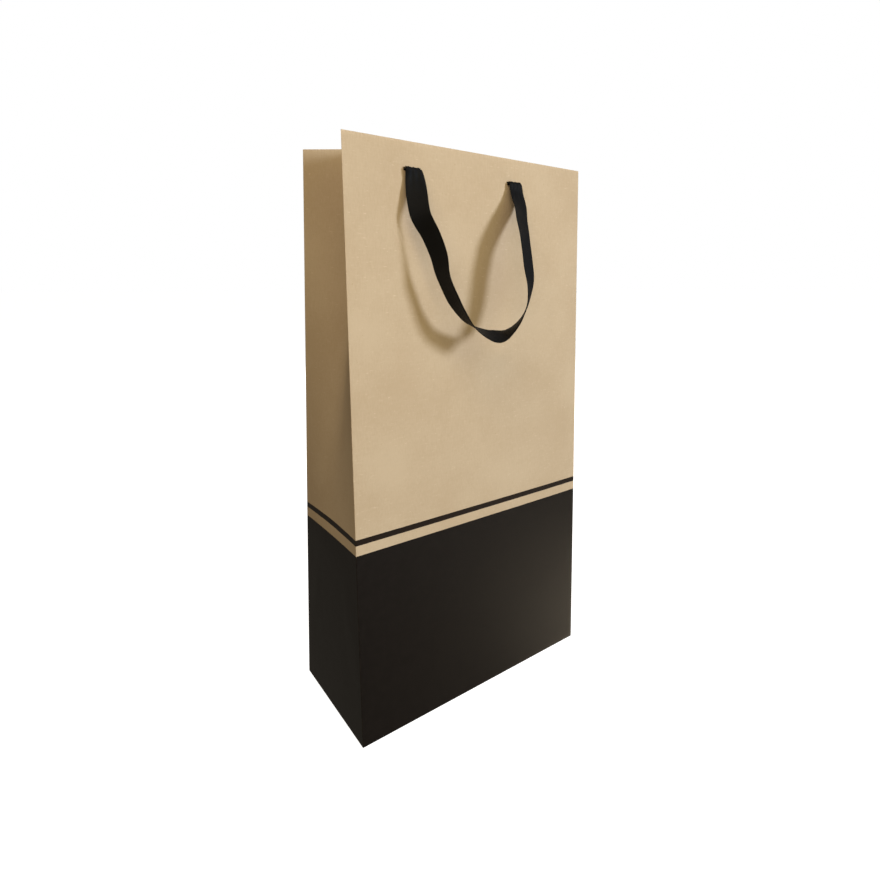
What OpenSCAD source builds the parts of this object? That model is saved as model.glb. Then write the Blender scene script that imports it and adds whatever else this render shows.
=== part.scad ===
// Two-bottle gift bag: folded kraft paper on a card base, with two ribbon handles.
// The origin is the middle of the base, on the ground. The front panel faces -Y.

/* [Bag] */
// Width of the front and back panels
bag_w = 180; // [170:5:200]
// Depth of the base, from front to back
bag_d = 90; // [80:5:100]
// Height of the bag
bag_h = 360; // [340:5:400]
// Depth of the mouth, which is drawn in until the bag is filled
mouth_d = 56; // [50:1:70]
// Height up to which the gussets stand flat
gusset_start = 110; // [90:5:130]
// How late the gussets fold in above that height: 1 is an even slope
gusset_curve = 1.3; // [1:0.1:2]

/* [Paper and card] */
// Thickness of the paper
paper_t = 0.4; // [0.3:0.05:0.5]
// Height of the hem that is turned in at the rim
hem_h = 40; // [30:1:50]
// Thickness of the card in the front and back hems
top_card_t = 0.8; // [0.6:0.1:1.2]
// Thickness of the loose card that stiffens the base
base_card_t = 1.2; // [0.8:0.1:2]
// Width of the glued tab that closes the sheet into a tube
seam_w = 15; // [10:1:20]
// How far the bottom flaps pass the middle of the base, where they are glued
flap_lap = 15; // [10:1:20]
// Length of the two side flaps of the bottom
side_flap = 60; // [50:1:65]

/* [Handles] */
// Place of the first slot along the panel, from its middle
slot_a_x = -48; // [-60:1:-40]
// Place of the second slot along the panel, from its middle
slot_b_x = 28; // [20:1:40]
// Distance from the rim down to the slots
slot_drop = 15.5; // [12:0.5:20]
// Width of a slot
slot_w = 10; // [10:0.5:12]
// Height of a slot
slot_h = 2; // [1.6:0.1:3]
// Width of the ribbon
ribbon_w = 12; // [10:0.5:14]
// Thickness of the ribbon
ribbon_t = 0.8; // [0.6:0.1:1]
// Diameter of the knots that hold the ribbon behind the hem
knot_d = 10; // [8:0.5:11]
// Thickness of the knots
knot_t = 6.4; // [5:0.2:7]
// Length of the ribbon's cut end below each knot
knot_tail = 16; // [10:1:24]

/* [Hidden] */
$fn = 48;
KRAFT = [0.80, 0.71, 0.58];
CARD = [0.72, 0.70, 0.66];
RIBBON = [0.08, 0.08, 0.09];

// How far the back panel leans forward for each millimetre of height
lean = (bag_d - mouth_d) / bag_h;
// Depth to which the gussets fold in at the rim, with half the base's depth as the paper's width
gusset_in = sqrt(pow(bag_d / 2, 2) - pow(mouth_d / 2, 2));
inner_y = bag_d / 2 - paper_t;
inner_x = bag_w / 2 - paper_t;
slot_z = bag_h - slot_drop;
// Both hems stop this far short of the bag's corners
hem_end = 4;
card_gap = 0.4;
// A gusset's hem leaves this share of the half's width bare beside the panel
gusset_hem_start = 0.12;
gusset_bands = 25;
// Levels of the bottom's layers: flaps, lap, side flaps, then the card
side_flap_z = 2 * paper_t;
card_z = 3 * paper_t;
// The bands in the slots are a little narrower than the slots, and stop short of the pivot
stub_w = slot_w - 0.6;
pivot_out = 3;
stub_out = pivot_out - 0.6;
// The ribbon has its full width from this far past the pivot
widen_over = 9;
layers_t = 2 * paper_t + top_card_t;
// The knots stand just clear of the hem, which leans on the back panel
knot_y = layers_t + knot_t / 2 + 0.6;
knot_round = 3.2;
// Smooth steps between two points of the ribbon's route
route_steps = 3;

// The ribbon's route from one slot to the other: place along the panel from slot_a, distance out
// from the panel, drop below the slots, and turn of its outer face away from the front in degrees
ROUTE = [
    [0, 3, 0, 0], [0, 4.2, 6, 24], [-1.5, 8.5, 16, 48], [-2, 13, 27, 56], [2, 17, 38, 61],
    [5, 20, 49, 72], [7, 21, 60, 80], [11, 22, 70, 86], [16, 24, 80, 96], [23, 26, 89, 107],
    [32, 27, 94, 115], [40, 29, 96, 121], [48, 31, 93, 88], [54, 33, 87, 69], [59, 34, 78, 52],
    [62, 33, 65, 33], [63, 30, 52, 25], [65, 25, 38, 15], [69, 17.5, 26, 6], [74, 9.5, 15, 0],
    [76, 4.2, 6, 0], [76, 3, 0, 0]
];
route_span = ROUTE[len(ROUTE) - 1][0];

// Place in Y of the back panel's outer face at a height
function back_y(z) = bag_d / 2 - lean * z;
// Depth of a gusset's middle crease at a height
function inset(z) =
    z <= gusset_start ? 0
    : gusset_in * pow((z - gusset_start) / (bag_h - gusset_start), gusset_curve);

// A thin sheet through rings of points, closed at both ends; flip turns its faces round. A ring runs
// along one broad face and back along the other. The two are split along matching diagonals, so that
// they stay apart where the sheet twists.
module loft(rings, flip = false) {
    n = len(rings[0]);
    last = len(rings) - 1;
    sides = [
        for (i = [0:last - 1], j = [0:n - 1])
            let (a = i * n + j, b = i * n + (j + 1) % n)
            each (j < n / 2 ? [[a, b, b + n], [a, b + n, a + n]] : [[a, b, a + n], [b, b + n, a + n]])
    ];
    ends = [
        for (j = [0:n / 2 - 2])
            let (a = last * n)
            each [[n - 1 - j, n - 2 - j, j + 1, j], [a + j, a + j + 1, a + n - 2 - j, a + n - 1 - j]]
    ];
    faces = concat(sides, ends);
    polyhedron(
        points = [for (ring = rings) each ring],
        faces = flip ? [for (f = faces) [for (k = [len(f) - 1:-1:0]) f[k]]] : faces
    );
}

// One corner of a gusset sheet: side and half are -1 or 1, share runs from the panel to the crease,
// and layer counts thicknesses of paper inwards
function gusset_point(side, half, z, share, layer) =
    let (panel_y = half < 0 ? -inner_y : back_y(z) - paper_t)
    let (crease_y = (back_y(z) - bag_d / 2) / 2)
    let (g = inset(z))
    let (t = paper_t * sqrt(1 + pow(g / (crease_y - panel_y), 2)))
    [side * (bag_w / 2 - g * share - t * layer), panel_y + (crease_y - panel_y) * share, z];

// Heights at which a gusset sheet is cut into bands, counted from where it starts to fold in
function gusset_height(i) = gusset_start + (bag_h - gusset_start) * i / gusset_bands;

// Half of a gusset, from a panel to the middle crease. It has a line of points where its hem starts,
// so that the hem's bands lie face to face on it.
module gusset_half(side, half) {
    corners = [[0, 0], [gusset_hem_start, 0], [1, 0], [1, 1], [gusset_hem_start, 1], [0, 1]];
    rings = [
        for (z = concat([0], [for (i = [0:gusset_bands]) gusset_height(i)]))
            [for (c = corners) gusset_point(side, half, z, c[0], c[1])]
    ];
    color(KRAFT) loft(rings, flip = side * half < 0);
}

// A sheet with a straight side outline in Y and Z, across a width that starts at x0
module across(x0, width, outline) {
    translate([x0, 0, 0])
        rotate([90, 0, 90])
            linear_extrude(width)
                polygon(outline);
}

// Side outline of a layer that lies along the back panel, between two depths inside its outer face
function back_layer(depth0, depth1, z0, z1) = [
    [back_y(z0) - depth1, z0], [back_y(z0) - depth0, z0],
    [back_y(z1) - depth0, z1], [back_y(z1) - depth1, z1]
];

// The two slots of a panel, as bars that cut right through whatever is at the panel's top
module slot_cutters() {
    for (x = [slot_a_x, slot_b_x])
        translate([x - slot_w / 2, -bag_d, slot_z - slot_h / 2])
            cube([slot_w, 2 * bag_d, slot_h]);
}

module front_panel() {
    color(KRAFT)
        difference() {
            translate([-bag_w / 2, -bag_d / 2, 0])
                cube([bag_w, paper_t, bag_h]);
            slot_cutters();
        }
}

module back_panel() {
    color(KRAFT)
        difference() {
            across(-bag_w / 2, bag_w, back_layer(0, paper_t, 0, bag_h));
            rotate([0, 0, 180]) slot_cutters();
        }
}

module left_gusset_front() { gusset_half(-1, -1); }
module left_gusset_back() { gusset_half(-1, 1); }
module right_gusset_front() { gusset_half(1, -1); }
module right_gusset_back() { gusset_half(1, 1); }

// The tab behind the right end of the back panel
module seam_tab() {
    color(KRAFT)
        across(
            inner_x - 1 - seam_w, seam_w,
            back_layer(paper_t, 2 * paper_t, card_z + base_card_t + card_gap, bag_h - hem_h - card_gap)
        );
}

// One flap of the bottom, tapering at 45 degrees from the wall at y0 to the line at y1
module tapered_flap(y0, y1, z0, past = 0) {
    half = inner_x - past;
    taper = abs(y1 - y0);
    translate([0, 0, z0])
        linear_extrude(paper_t)
            polygon([[-half, y0], [half, y0], [half - taper, y1], [taper - half, y1]]);
}

// The front flap lies on the ground up to the back flap's edge, then steps up and runs on above it
module front_bottom_flap() {
    past = inner_y - flap_lap - paper_t;
    color(KRAFT) {
        tapered_flap(-inner_y, -flap_lap, 0);
        tapered_flap(-flap_lap - paper_t, -flap_lap, paper_t / 2, past);
        tapered_flap(-flap_lap - paper_t, flap_lap, paper_t, past);
    }
}

module back_bottom_flap() {
    color(KRAFT) tapered_flap(back_y(card_z) - paper_t, -flap_lap, 0);
}

// A flap folded in from one side, under the tapered flaps
module side_bottom_flap(side) {
    back_end = back_y(card_z) - paper_t;
    color(KRAFT)
        translate([side > 0 ? inner_x - side_flap : -inner_x, -inner_y, side_flap_z])
            cube([side_flap, back_end + inner_y, paper_t]);
}

module left_bottom_flap() { side_bottom_flap(-1); }
module right_bottom_flap() { side_bottom_flap(1); }

module base_card() {
    front_end = -inner_y + card_gap;
    back_end = back_y(card_z + base_card_t) - paper_t - card_gap;
    color(CARD)
        translate([-inner_x + card_gap, front_end, card_z])
            cube([2 * (inner_x - card_gap), back_end - front_end, base_card_t]);
}

// The front hem hooks over the card: a strip down its inner face and a narrow one over its top
module front_hem() {
    color(KRAFT)
        difference() {
            across(
                -bag_w / 2 + hem_end, bag_w - 2 * hem_end,
                [
                    [-inner_y + top_card_t, bag_h - hem_h], [-inner_y + top_card_t + paper_t, bag_h - hem_h],
                    [-inner_y + top_card_t + paper_t, bag_h], [-inner_y, bag_h],
                    [-inner_y, bag_h - paper_t], [-inner_y + top_card_t, bag_h - paper_t]
                ]
            );
            slot_cutters();
        }
}

module back_hem() {
    rim = bag_h - paper_t;
    color(KRAFT)
        difference() {
            across(
                -bag_w / 2 + hem_end, bag_w - 2 * hem_end,
                [
                    [back_y(bag_h - hem_h) - layers_t, bag_h - hem_h],
                    [back_y(bag_h - hem_h) - layers_t + paper_t, bag_h - hem_h],
                    [back_y(rim) - layers_t + paper_t, rim],
                    [back_y(rim) - paper_t, rim],
                    [back_y(bag_h) - paper_t, bag_h],
                    [back_y(bag_h) - layers_t, bag_h]
                ]
            );
            rotate([0, 0, 180]) slot_cutters();
        }
}

// The turned-in edge of a whole gusset, glued flat to its inner face
module gusset_hem(side) {
    corners = [[gusset_hem_start, 1], [1, 1], [1, 2], [gusset_hem_start, 2]];
    first = ceil(gusset_bands * (bag_h - hem_h - gusset_start) / (bag_h - gusset_start));
    color(KRAFT)
        for (half = [-1, 1])
            loft(
                [
                    for (i = [first:gusset_bands])
                        [for (c = corners) gusset_point(side, half, gusset_height(i), c[0], c[1])]
                ],
                flip = side * half < 0
            );
}

module left_gusset_hem() { gusset_hem(-1); }
module right_gusset_hem() { gusset_hem(1); }

module front_top_card() {
    color(CARD)
        difference() {
            translate([-bag_w / 2 + hem_end, -inner_y, bag_h - hem_h + card_gap])
                cube([bag_w - 2 * hem_end, top_card_t, hem_h - card_gap - paper_t]);
            slot_cutters();
        }
}

module back_top_card() {
    color(CARD)
        difference() {
            across(
                -bag_w / 2 + hem_end, bag_w - 2 * hem_end,
                back_layer(paper_t, paper_t + top_card_t, bag_h - hem_h + card_gap, bag_h - paper_t)
            );
            rotate([0, 0, 180]) slot_cutters();
        }
}

// Places its children on the front or the back panel's outer face at slot A, with -Y outwards
module on_panel(side) {
    y = side < 0 ? -bag_d / 2 : back_y(slot_z);
    translate([0, y, slot_z])
        rotate([0, 0, side < 0 ? 0 : 180])
            children();
}

// A knot behind the hem, with the band that runs out through the slot and the cut end below it
module knot() {
    color(RIBBON) {
        translate([-stub_w / 2, -stub_out, -ribbon_t / 2])
            cube([stub_w, stub_out + knot_y, ribbon_t]);
        translate([0, knot_y, 0])
            rotate([90, 0, 0])
                rotate_extrude()
                    intersection() {
                        union() {
                            translate([knot_d / 2 - knot_round, 0]) circle(knot_t / 2);
                            translate([0, -knot_t / 2]) square([knot_d / 2 - knot_round, knot_t]);
                        }
                        translate([0, -knot_t]) square([knot_d, 2 * knot_t]);
                    }
        translate([-stub_w / 2, knot_y, -knot_tail])
            cube([stub_w, ribbon_t, knot_tail]);
    }
}

module knots(side) {
    on_panel(side)
        for (x = [slot_a_x, slot_b_x])
            translate([x, 0, 0]) knot();
}

module front_knots() { knots(-1); }
module back_knots() { knots(1); }

// Smooth curve through four points, from the second to the third
function between(a, b, c, d, t) =
    0.5 * (2 * b + (c - a) * t + (2 * a - 5 * b + 4 * c - d) * t * t + (3 * b - a - 3 * c + d) * t * t * t);

// The route with smooth steps between its points
function smooth(route, steps) =
    let (last = len(route) - 1)
    concat(
        [
            for (i = [0:last - 1], k = [0:steps - 1])
                between(
                    route[max(i - 1, 0)], route[i], route[i + 1], route[min(i + 2, last)], k / steps
                )
        ],
        [route[last]]
    );

function unit(v) = v / norm(v);

// Where a point of the route lies, with -Y outwards from the panel and Z upwards
function place(point) = [point[0], -point[1], -point[2]];

// Corners of the ribbon at one point of its route, where the ribbon runs along the given way
function ribbon_ring(point, way) =
    let (out = [0, -1, 0])
    let (level = unit(out - (out * way) * way))
    let (face = cos(point[3]) * level + sin(point[3]) * cross(way, level))
    let (edge = cross(face, way))
    let (w = min(ribbon_w, stub_w + (ribbon_w - stub_w) * (point[1] - pivot_out) / widen_over) / 2)
    [
        for (c = [[1, 1], [-1, 1], [-1, -1], [1, -1]])
            place(point) + c[0] * w * edge + c[1] * ribbon_t / 2 * face
    ];

// The free loop of a handle, hanging from its two pivots
module ribbon_loop() {
    stretch = (slot_b_x - slot_a_x) / route_span;
    route = smooth([for (p = ROUTE) [p[0] * stretch + slot_a_x, p[1], p[2], p[3]]], route_steps);
    last = len(route) - 1;
    rings = [
        for (i = [0:last])
            ribbon_ring(route[i], unit(place(route[min(i + 1, last)]) - place(route[max(i - 1, 0)])))
    ];
    color(RIBBON) loft(rings);
}

module front_ribbon() { on_panel(-1) ribbon_loop(); }
module back_ribbon() { on_panel(1) ribbon_loop(); }

front_panel();
back_panel();
left_gusset_front();
left_gusset_back();
right_gusset_front();
right_gusset_back();
seam_tab();
front_bottom_flap();
back_bottom_flap();
left_bottom_flap();
right_bottom_flap();
base_card();
front_hem();
back_hem();
left_gusset_hem();
right_gusset_hem();
front_top_card();
back_top_card();
front_knots();
back_knots();
front_ribbon();
back_ribbon();
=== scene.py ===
"""A two-bottle gift bag: a folded kraft sheet, its cards and two twill ribbon handles, in a studio."""

import logging
import math
from dataclasses import dataclass, field
from enum import Enum, IntEnum
from typing import Callable, Iterable, Mapping, Sequence

import bpy
import numpy as np
from mathutils import Matrix, Vector, noise


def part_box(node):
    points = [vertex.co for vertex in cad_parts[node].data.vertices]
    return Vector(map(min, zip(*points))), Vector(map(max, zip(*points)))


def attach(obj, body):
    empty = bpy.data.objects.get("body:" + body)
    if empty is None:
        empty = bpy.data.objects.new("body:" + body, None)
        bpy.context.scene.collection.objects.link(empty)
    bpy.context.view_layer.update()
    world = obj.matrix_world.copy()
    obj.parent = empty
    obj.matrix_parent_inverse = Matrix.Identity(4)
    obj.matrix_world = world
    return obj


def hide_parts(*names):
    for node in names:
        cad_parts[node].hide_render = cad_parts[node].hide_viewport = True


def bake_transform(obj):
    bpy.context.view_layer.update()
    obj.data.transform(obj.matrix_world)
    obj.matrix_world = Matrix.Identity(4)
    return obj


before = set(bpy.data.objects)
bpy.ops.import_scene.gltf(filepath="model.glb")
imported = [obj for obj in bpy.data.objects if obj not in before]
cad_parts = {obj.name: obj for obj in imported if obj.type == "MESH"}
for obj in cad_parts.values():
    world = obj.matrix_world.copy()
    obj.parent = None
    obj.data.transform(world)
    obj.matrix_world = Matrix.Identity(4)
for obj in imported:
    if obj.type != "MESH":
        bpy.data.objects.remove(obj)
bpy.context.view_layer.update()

log = logging.getLogger("gift_bag")
MM = 0.001
Point = tuple[float, float, float]
Colour = tuple[float, float, float]
Grid = np.ndarray


class Side(Enum):
    """The panel that a handle hangs on; the value points out of it along Y."""

    FRONT = -1
    BACK = 1


class Face(Enum):
    """Material slots of a sheet of paper."""

    KRAFT = 0
    REVERSE = 1
    CUT = 2


class Panel(IntEnum):
    """The sheet's panels, anticlockwise from above, and NONE for the bend between two of them."""

    NONE = -1
    FRONT = 0
    RIGHT_FRONT = 1
    RIGHT_BACK = 2
    BACK = 3
    LEFT_BACK = 4
    LEFT_FRONT = 5


# ---------------------------------------------------------------------------------------------
# Shader graphs
# ---------------------------------------------------------------------------------------------


def find_socket(sockets: Iterable[bpy.types.NodeSocket], key: int | str) -> bpy.types.NodeSocket:
    """Return the socket with that number, identifier or name."""
    if isinstance(key, int):
        return sockets[key]
    return next(s for s in sockets if key in (s.identifier, s.name))


class Wire:
    """A shader socket that can be used in arithmetic; each operation adds its Math node."""

    def __init__(self, graph: "Graph", socket: bpy.types.NodeSocket) -> None:
        """Keep the graph that the socket belongs to."""
        self.graph = graph
        self.socket = socket

    def math(self, operation: str, *values: "Wire | float") -> "Wire":
        """Return the result of a Math node on the given values."""
        return self.graph.add("ShaderNodeMath", {"operation": operation}, dict(enumerate(values)))

    def __add__(self, other: "Wire | float") -> "Wire":
        """Add."""
        return self.math("ADD", self, other)

    __radd__ = __add__

    def __sub__(self, other: "Wire | float") -> "Wire":
        """Subtract."""
        return self.math("SUBTRACT", self, other)

    def __rsub__(self, other: "Wire | float") -> "Wire":
        """Subtract from a number."""
        return self.math("SUBTRACT", other, self)

    def __mul__(self, other: "Wire | float") -> "Wire":
        """Multiply."""
        return self.math("MULTIPLY", self, other)

    __rmul__ = __mul__

    def above(self, limit: "Wire | float") -> "Wire":
        """Return 1 where this is above the limit, and 0 elsewhere."""
        return self.math("GREATER_THAN", self, limit)

    def sine(self) -> "Wire":
        """Return the sine of this value, in radians."""
        return self.math("SINE", self)

    def ramp(self, low: float, high: float, to_low: float = 0.0, to_high: float = 1.0) -> "Wire":
        """Map a range smoothly onto another, and hold the ends.

        Args:
            low: Value that gives to_low.
            high: Value that gives to_high.
            to_low: Result at and below low.
            to_high: Result at and above high.

        Returns:
            The mapped value.
        """
        return self.graph.add(
            "ShaderNodeMapRange",
            {"interpolation_type": "SMOOTHSTEP"},
            {0: self, 1: low, 2: high, 3: to_low, 4: to_high},
        )


class Graph:
    """The node tree of one material, around its Principled shader."""

    def __init__(self, name: str) -> None:
        """Make an empty material with a shader and an output."""
        self.material = bpy.data.materials.new(name)
        self.material.use_nodes = True
        self.tree = self.material.node_tree
        self.tree.nodes.clear()
        self.shader = self.tree.nodes.new("ShaderNodeBsdfPrincipled")
        output = self.tree.nodes.new("ShaderNodeOutputMaterial")
        self.tree.links.new(self.shader.outputs[0], output.inputs[0])

    def _put(self, socket: bpy.types.NodeSocket, value: object) -> None:
        """Link a wire to a socket, or set the socket's own value."""
        if isinstance(value, Wire):
            self.tree.links.new(value.socket, socket)
        elif socket.type == "RGBA" and len(value) == 3:
            socket.default_value = (*value, 1.0)
        else:
            socket.default_value = value

    def add(
        self,
        kind: str,
        settings: Mapping[str, object] | None = None,
        inputs: Mapping[int | str, object] | None = None,
        out: int | str = 0,
    ) -> Wire:
        """Add a node, set it up, then fill its sockets.

        Args:
            kind: The node's type.
            settings: The node's own properties.
            inputs: Values or wires, by the socket's name, identifier or number.
            out: Name, identifier or number of the output to return.

        Returns:
            The chosen output.
        """
        node = self.tree.nodes.new(kind)
        for key, value in (settings or {}).items():
            setattr(node, key, value)
        for key, value in (inputs or {}).items():
            self._put(find_socket(node.inputs, key), value)
        return Wire(self, find_socket(node.outputs, out))

    def set(self, **inputs: object) -> None:
        """Fill sockets of the shader; an underscore in a name stands for a space."""
        for key, value in inputs.items():
            self._put(self.shader.inputs[key.replace("_", " ")], value)

    def place(self) -> Wire:
        """Return the point in the object's own coordinates."""
        return self.add("ShaderNodeTexCoord", out="Object")

    def stretched(self, point: Wire, scale: Sequence[float]) -> Wire:
        """Return the point with each coordinate scaled."""
        return self.add("ShaderNodeMapping", inputs={"Vector": point, "Scale": tuple(scale)})

    def part(self, point: Wire, axis: str) -> Wire:
        """Return one coordinate of a point: X, Y or Z."""
        return self.add("ShaderNodeSeparateXYZ", inputs={"Vector": point}, out=axis)

    def noise(self, point: Wire, scale: float, detail: float = 2.0, rough: float = 0.5) -> Wire:
        """Add fractal noise.

        Args:
            point: Where the noise is read.
            scale: Features to a unit of length.
            detail: Number of finer layers.
            rough: How strong each finer layer is.

        Returns:
            The noise, around one half.
        """
        return self.add(
            "ShaderNodeTexNoise",
            inputs={"Vector": point, "Scale": scale, "Detail": detail, "Roughness": rough},
        )

    def mix(self, share: Wire | float, low: object, high: object) -> Wire:
        """Return a colour between low and high."""
        return self.add(
            "ShaderNodeMix",
            {"data_type": "RGBA"},
            {"Factor_Float": share, "A_Color": low, "B_Color": high},
            "Result_Color",
        )

    def bump(self, height: Wire, distance: float, strength: float = 1.0) -> Wire:
        """Return a normal that follows a height."""
        return self.add(
            "ShaderNodeBump", inputs={"Height": height, "Distance": distance, "Strength": strength}
        )


# ---------------------------------------------------------------------------------------------
# Finishes
# ---------------------------------------------------------------------------------------------


@dataclass(frozen=True)
class KraftFinish:
    """Kraft paper, with or without the print on its lower part."""

    name: str
    printed: bool
    light: Colour = (0.587, 0.452, 0.296)
    dark: Colour = (0.530, 0.395, 0.250)
    fleck: Colour = (0.400, 0.255, 0.130)
    pale_fleck: Colour = (0.740, 0.590, 0.410)
    ink: Colour = (0.0068, 0.0046, 0.0034)
    stripe_ink: Colour = (0.0130, 0.0070, 0.0036)
    worn: Colour = (0.700, 0.560, 0.400)
    block_top: float = 123.0 * MM
    stripe_low: float = 129.2 * MM
    stripe_top: float = 132.8 * MM
    ragged: float = 0.12 * MM
    fibre_relief: float = 0.10 * MM

    def material(self) -> bpy.types.Material:
        """Build the material.

        Returns:
            The finished material, which reads Object coordinates and the "wear" attribute.
        """
        g = Graph(self.name)
        at = g.place()
        cloud = g.noise(at, 22.0, 3.0)
        fibres = g.noise(g.stretched(at, (1.0, 1.0, 0.22)), 1500.0, 3.0, 0.6)
        across = g.noise(g.stretched(at, (0.25, 0.25, 1.0)), 1100.0, 2.0, 0.6)
        grain = g.noise(at, 3200.0, 2.0)
        tone = (cloud * 0.55 + fibres * 0.30 + across * 0.15).ramp(0.36, 0.64)
        paper = g.mix(tone, self.dark, self.light)
        paper = g.mix(g.noise(at, 520.0, 4.0, 0.7).ramp(0.66, 0.76) * 0.55, paper, self.fleck)
        paper = g.mix(across.ramp(0.66, 0.78) * 0.45, paper, self.pale_fleck)
        wear = g.add("ShaderNodeAttribute", {"attribute_name": "wear"}, out="Fac")
        rubbed = (wear * fibres.ramp(0.30, 0.62)).ramp(0.25, 0.95)
        paper = g.mix(rubbed * 0.25, paper, self.worn)
        height = fibres * 0.55 + across * 0.25 + grain * 0.20
        if not self.printed:
            g.set(Base_Color=paper, Roughness=0.88, Specular_IOR_Level=0.25)
            g.set(Normal=g.bump(height, self.fibre_relief, 0.55))
            return g.material
        # The print's edges follow the grain a little, and its ink fills most of the fibres' relief.
        level = g.part(at, "Z") + (grain - 0.5) * self.ragged
        block = 1.0 - level.above(self.block_top)
        stripe = level.above(self.stripe_low) * (1.0 - level.above(self.stripe_top))
        mottle = g.noise(at, 260.0, 4.0, 0.65)
        ink = g.mix(mottle.ramp(0.35, 0.70) * 0.35, self.ink, tuple(c * 1.6 for c in self.ink))
        ink = g.mix(stripe, ink, self.stripe_ink)
        cover = (block + stripe) * (1.0 - rubbed * 0.03)
        g.set(
            Base_Color=g.mix(cover, paper, ink),
            Roughness=cover * (-0.49) + 0.86 + (mottle - 0.5) * 0.10 * cover,
            Specular_IOR_Level=0.30,
            Normal=g.bump(height * (1.0 - cover * 0.62), self.fibre_relief, 0.55),
        )
        return g.material


@dataclass(frozen=True)
class BoardFinish:
    """Grey board pressed from waste paper, with dark and pale specks."""

    name: str
    grey: Colour = (0.430, 0.405, 0.360)
    warm: Colour = (0.520, 0.480, 0.410)
    speck: Colour = (0.150, 0.140, 0.130)

    def material(self) -> bpy.types.Material:
        """Build the material on Object coordinates and return it."""
        g = Graph(self.name)
        at = g.place()
        felt = g.noise(g.stretched(at, (0.4, 1.0, 1.0)), 900.0, 4.0, 0.65)
        tone = g.mix(felt.ramp(0.35, 0.65), self.grey, self.warm)
        tone = g.mix(g.noise(at, 700.0, 3.0, 0.7).ramp(0.66, 0.74) * 0.7, tone, self.speck)
        g.set(Base_Color=tone, Roughness=0.92, Specular_IOR_Level=0.2)
        g.set(Normal=g.bump(felt, 0.15 * MM, 0.6))
        return g.material


@dataclass(frozen=True)
class TwillFinish:
    """Black twill ribbon: fine diagonal ribs on a close weave, with painted shade in the grooves between
    the ribs, on the ribbon's own UV in metres.
    """

    name: str
    yarn: Colour = (0.0030, 0.0031, 0.0038)
    groove_shade: Colour = (0.0009, 0.0009, 0.0012)
    lint: Colour = (0.012, 0.013, 0.016)
    rib: float = 0.85 * MM
    weft: float = 0.34 * MM

    def material(self) -> bpy.types.Material:
        """Build the material and return it."""
        g = Graph(self.name)
        uv = g.add("ShaderNodeUVMap", {"uv_map": "weave"})
        along, across = g.part(uv, "X"), g.part(uv, "Y")
        ribs = ((along + across) * (math.tau / self.rib)).sine() * 0.5 + 0.5
        threads = (across * (math.tau / self.weft)).sine() * 0.5 + 0.5
        weave = ribs * 0.7 + threads * 0.3
        fuzz = g.noise(g.stretched(uv, (1.0, 3.0, 1.0)), 2600.0, 3.0, 0.6)
        # The colour goes darker between the ribs, towards the groove colour: painted shade in the
        # weave's hollows.
        tone = g.mix(weave, self.groove_shade, self.yarn)
        tone = g.mix(fuzz.ramp(0.62, 0.82) * 0.35, tone, self.lint)
        g.set(Base_Color=tone, Roughness=fuzz * 0.20 + 0.55, Specular_IOR_Level=0.16)
        g.set(Sheen_Weight=0.04, Sheen_Roughness=0.45, Sheen_Tint=(0.55, 0.62, 0.75, 1.0))
        g.set(Normal=g.bump(weave, 0.09 * MM, 0.8))
        return g.material


# ---------------------------------------------------------------------------------------------
# Mesh helpers
# ---------------------------------------------------------------------------------------------


def lerp(low: float, high: float, share: float) -> float:
    """Return the value at a share of the way from low to high."""
    return low + (high - low) * share


def new_piece(
    name: str,
    points: np.ndarray,
    faces: Sequence[Sequence[int]],
    materials: Sequence[bpy.types.Material],
    slots: Sequence[int] | None = None,
    sharp: float = 38.0,
) -> bpy.types.Object:
    """Make a smooth-shaded mesh object at the origin.

    Args:
        name: The piece's name.
        points: Its vertices.
        faces: Its faces, as lists of vertex numbers.
        materials: Its materials, in slot order.
        slots: The slot of each face.
        sharp: Edges that bend more than this many degrees stay sharp.

    Returns:
        The object, linked to the scene.
    """
    mesh = bpy.data.meshes.new(name)
    mesh.from_pydata([tuple(p) for p in points], [], [tuple(f) for f in faces])
    for material in materials:
        mesh.materials.append(material)
    if slots is not None:
        mesh.polygons.foreach_set("material_index", np.asarray(slots, np.int32))
    mesh.polygons.foreach_set("use_smooth", np.ones(len(mesh.polygons), bool))
    mesh.set_sharp_from_angle(angle=math.radians(sharp))
    mesh.update()
    piece = bpy.data.objects.new(name, mesh)
    bpy.context.scene.collection.objects.link(piece)
    return piece


def add_wear(piece: bpy.types.Object, wear: np.ndarray) -> None:
    """Store how worn each vertex is, from 0 to 1, for the paper finish."""
    layer = piece.data.attributes.new("wear", "FLOAT", "POINT")
    layer.data.foreach_set("value", wear.astype(np.float32))


def add_weave(piece: bpy.types.Object, places: Sequence[tuple[float, float]]) -> None:
    """Give each vertex its place on the ribbon's weave: metres along and metres across."""
    layer = piece.data.uv_layers.new(name="weave")
    for loop in piece.data.loops:
        layer.data[loop.index].uv = places[loop.vertex_index]


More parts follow.
